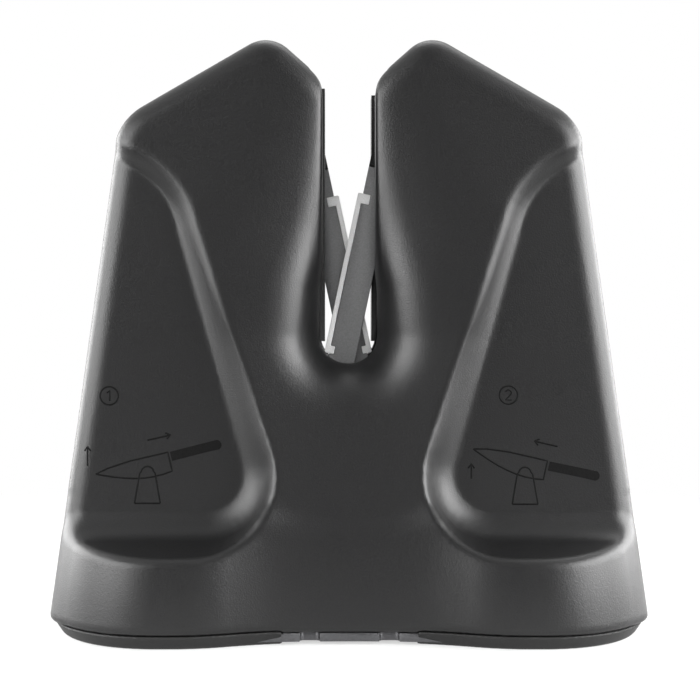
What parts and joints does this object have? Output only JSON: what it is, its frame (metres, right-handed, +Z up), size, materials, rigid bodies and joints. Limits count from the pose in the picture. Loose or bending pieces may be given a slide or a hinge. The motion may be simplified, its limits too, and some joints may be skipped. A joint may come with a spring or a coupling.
{
  "type": "pull through knife sharpener",
  "caption": "Free-standing pull-through knife sharpener: a waisted two-shell body with a deep blade slot, where two sprung carbide arms cross.",
  "frame": {"origin": "middle of the footprint, on the surface that the sharpener stands on", "axes": "+X to the right across the front, +Y from front to back along the blade's travel, +Z up"},
  "size_m": [0.1408, 0.077, 0.1397],
  "materials": {
    "shell_plastic": "black moulded plastic with a fine spark-eroded texture",
    "zinc_steel": "zinc-plated steel",
    "plate_steel": "pressed sheet steel, satin",
    "foot_rubber": "black rubber",
    "guide_steel": "sheet steel, painted satin black",
    "pin_steel": "ground steel pin",
    "spring_steel": "drawn spring wire",
    "arm_steel": "dark satin steel",
    "tip_plastic": "black moulded plastic",
    "carbide": "ground tungsten carbide, light grey",
    "bush_bronze": "sintered bronze"
  },
  "bodies": {
    "casing": {"front_shell": "shell_plastic", "rear_shell": "shell_plastic", "shell_screws": "zinc_steel", "base_plate": "plate_steel", "base_screws": "zinc_steel", "frame_foot_screws": "zinc_steel", "left_foot_pad": "foot_rubber", "right_foot_pad": "foot_rubber", "front_frame_plate": "zinc_steel", "rear_frame_plate": "zinc_steel", "frame_spacer_bars": "zinc_steel", "frame_screws": "zinc_steel", "left_blade_guide": "guide_steel", "right_blade_guide": "guide_steel", "guide_rivets": "zinc_steel", "left_pivot_pin": "pin_steel", "right_pivot_pin": "pin_steel", "pivot_circlips": "pin_steel", "pivot_spacers": "zinc_steel", "rest_stop_pins": "pin_steel", "outer_stop_posts": "pin_steel", "left_spring_seat": "zinc_steel", "right_spring_seat": "zinc_steel", "front_spring": "spring_steel", "rear_spring": "spring_steel"},
    "front_arm": {"front_arm": "arm_steel", "front_arm_tip": "tip_plastic", "front_carbide_strip": "carbide", "front_arm_bush": "bush_bronze"},
    "rear_arm": {"rear_arm": "arm_steel", "rear_arm_tip": "tip_plastic", "rear_carbide_strip": "carbide", "rear_arm_bush": "bush_bronze"}
  },
  "joints": [
    {"name": "front_arm_hinge", "type": "hinge", "parent": "casing", "child": "front_arm", "pos_m": [-0.01062, 0, 0.022], "axis": [0, 1, 0], "range_deg": [0, 5], "stiffness_Nm_per_rad": 2, "springref_deg": -2.86, "deforming": ["front_spring"]},
    {"name": "rear_arm_hinge", "type": "hinge", "parent": "casing", "child": "rear_arm", "pos_m": [0.01062, 0, 0.022], "axis": [0, -1, 0], "range_deg": [0, 5], "stiffness_Nm_per_rad": 2, "springref_deg": -2.86, "deforming": ["rear_spring"]}
  ]
}
